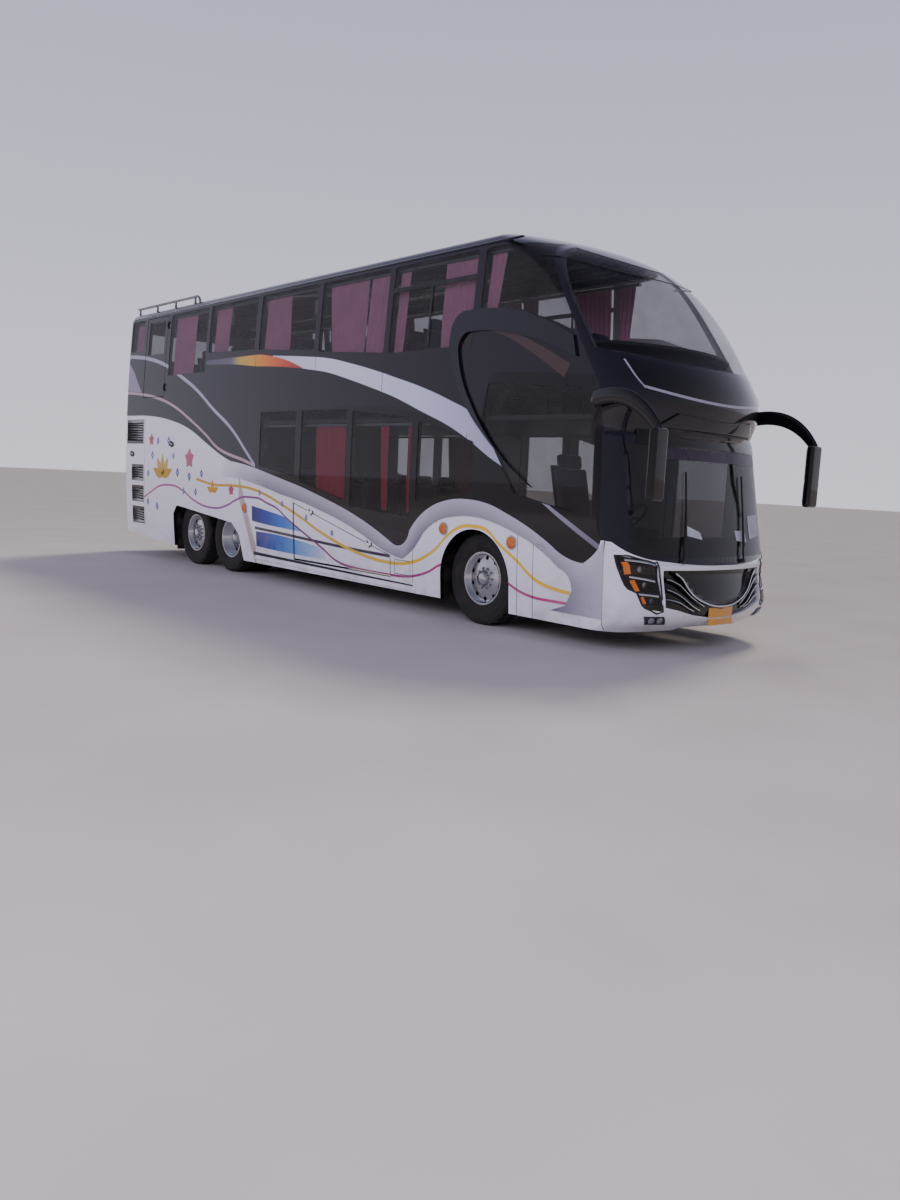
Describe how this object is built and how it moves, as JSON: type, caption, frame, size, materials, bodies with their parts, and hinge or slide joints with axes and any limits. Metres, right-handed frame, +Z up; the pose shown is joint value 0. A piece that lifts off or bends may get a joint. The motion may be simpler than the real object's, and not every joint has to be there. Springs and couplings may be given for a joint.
{
  "type": "two-deck touring coach",
  "caption": "Three-axle two-deck touring coach with steered front wheels, hinged doors, luggage flap and engine lid, hollow glazed cabin, seats and chassis.",
  "frame": {"origin": "on the ground, at the centre of the overall box", "axes": "+X forward, +Y to the bus's left, +Z up"},
  "size_m": [12.064, 2.944, 4.355],
  "materials": {
    "white_paint": "gloss two-pack paint",
    "silver_paint": "metallic silver paint",
    "charcoal_paint": "gloss charcoal two-pack paint",
    "black_paint": "gloss black",
    "chassis_black": "satin black chassis paint",
    "dark_plastic": "moulded, satin",
    "tinted_glass": "tinted safety glass",
    "clear_glass": "laminated windscreen glass",
    "lamp_glass": "clear and amber lenses",
    "steel": "machined",
    "iron": "cast, painted",
    "bright_rim": "polished wheel covers",
    "aluminium": "satin extrusion",
    "tyre_rubber": "matte rubber",
    "floor_vinyl": "vinyl floor covering",
    "seat_cloth": "woven moquette",
    "curtain_cloth": "pleated curtain cloth"
  },
  "bodies": {
    "coach_body": {"air_springs": "dark_plastic", "chassis_frame": "chassis_black", "curtain_rails": "aluminium", "curtains": "curtain_cloth", "dashboard": "dark_plastic", "drive_axle": "iron", "engine_block": "iron", "front_axle_beam": "iron", "front_fascia": "white_paint", "front_grille": "black_paint", "front_mask": "charcoal_paint", "fuel_tank": "aluminium", "hoop_mouldings": "charcoal_paint", "lamps": "lamp_glass", "lamp_housings": "bright_rim", "nose_strip": "bright_rim", "roof_hatches": "charcoal_paint", "side_louvres": "black_paint", "lower_floor": "floor_vinyl", "mirrors": "black_paint", "rear_glass": "tinted_glass", "rear_wall": "white_paint", "roof_rack": "aluminium", "roof_skin": "charcoal_paint", "seats": "seat_cloth", "side_glass_left": "tinted_glass", "side_glass_right": "tinted_glass", "side_wall_left": "white_paint", "side_wall_right": "white_paint", "tag_axle": "iron", "upper_floor": "floor_vinyl", "wave_mouldings": "silver_paint", "wheel_housings": "chassis_black", "windscreens": "clear_glass", "wipers": "dark_plastic"},
    "knuckle_right": {"knuckle_right": "iron"},
    "knuckle_left": {"knuckle_left": "iron"},
    "emergency_door": {"emergency_door": "charcoal_paint", "emergency_door_glass": "tinted_glass"},
    "front_door": {"front_door": "white_paint", "front_door_glass": "tinted_glass"},
    "middle_door": {"middle_door": "white_paint", "middle_door_glass": "tinted_glass"},
    "luggage_flap": {"luggage_flap": "white_paint"},
    "engine_lid": {"engine_lid": "white_paint"},
    "wheel_front_right": {"tyre_front_right": "tyre_rubber", "rim_front_right": "bright_rim"},
    "wheel_front_left": {"tyre_front_left": "tyre_rubber", "rim_front_left": "bright_rim"},
    "wheel_drive_right": {"tyre_drive_right": "tyre_rubber", "rim_drive_right": "bright_rim"},
    "wheel_drive_left": {"tyre_drive_left": "tyre_rubber", "rim_drive_left": "bright_rim"},
    "wheel_tag_right": {"tyre_tag_right": "tyre_rubber", "rim_tag_right": "bright_rim"},
    "wheel_tag_left": {"tyre_tag_left": "tyre_rubber", "rim_tag_left": "bright_rim"}
  },
  "joints": [
    {"name": "steer_right", "type": "hinge", "parent": "coach_body", "child": "knuckle_right", "pos_m": [3.525, -0.8, 0.52], "axis": [0, 0, 1], "range_deg": [-38, 38]},
    {"name": "steer_left", "type": "hinge", "parent": "coach_body", "child": "knuckle_left", "pos_m": [3.525, 0.8, 0.52], "axis": [0, 0, 1], "range_deg": [-38, 38]},
    {"name": "spin_front_right", "type": "hinge", "parent": "knuckle_right", "child": "wheel_front_right", "pos_m": [3.525, -1, 0.52], "axis": [0, 1, 0], "continuous": true},
    {"name": "spin_front_left", "type": "hinge", "parent": "knuckle_left", "child": "wheel_front_left", "pos_m": [3.525, 1, 0.52], "axis": [0, 1, 0], "continuous": true},
    {"name": "spin_drive_right", "type": "hinge", "parent": "coach_body", "child": "wheel_drive_right", "pos_m": [-2.215, -1, 0.52], "axis": [0, 1, 0], "continuous": true},
    {"name": "spin_drive_left", "type": "hinge", "parent": "coach_body", "child": "wheel_drive_left", "pos_m": [-2.215, 1, 0.52], "axis": [0, 1, 0], "continuous": true},
    {"name": "spin_tag_right", "type": "hinge", "parent": "coach_body", "child": "wheel_tag_right", "pos_m": [-3.395, -1, 0.52], "axis": [0, 1, 0], "continuous": true},
    {"name": "spin_tag_left", "type": "hinge", "parent": "coach_body", "child": "wheel_tag_left", "pos_m": [-3.395, 1, 0.52], "axis": [0, 1, 0], "continuous": true},
    {"name": "emergency_door_hinge", "type": "hinge", "parent": "coach_body", "child": "emergency_door", "pos_m": [-4.389, -1.22378, 3.4175], "axis": [0, 0.0655, 0.9979], "range_deg": [0, 100]},
    {"name": "front_door_hinge", "type": "hinge", "parent": "coach_body", "child": "front_door", "pos_m": [5.146, 1.29, 1.315], "axis": [0, 0, -1], "range_deg": [0, 95]},
    {"name": "middle_door_hinge", "type": "hinge", "parent": "coach_body", "child": "middle_door", "pos_m": [2.596, 1.29, 1.315], "axis": [0, 0, -1], "range_deg": [0, 95]},
    {"name": "luggage_flap_hinge", "type": "hinge", "parent": "coach_body", "child": "luggage_flap", "pos_m": [0.915, -1.27011, 0.9035], "axis": [-0.9719, -0.0106, 0.2353], "range_deg": [0, 80]},
    {"name": "engine_lid_hinge", "type": "hinge", "parent": "coach_body", "child": "engine_lid", "pos_m": [-6.022, 0, 2.055], "axis": [0, 1, 0], "range_deg": [0, 75]}
  ],
  "couplings": [
    {"joint": "steer_left", "follows": "steer_right", "ratio": 1}
  ]
}
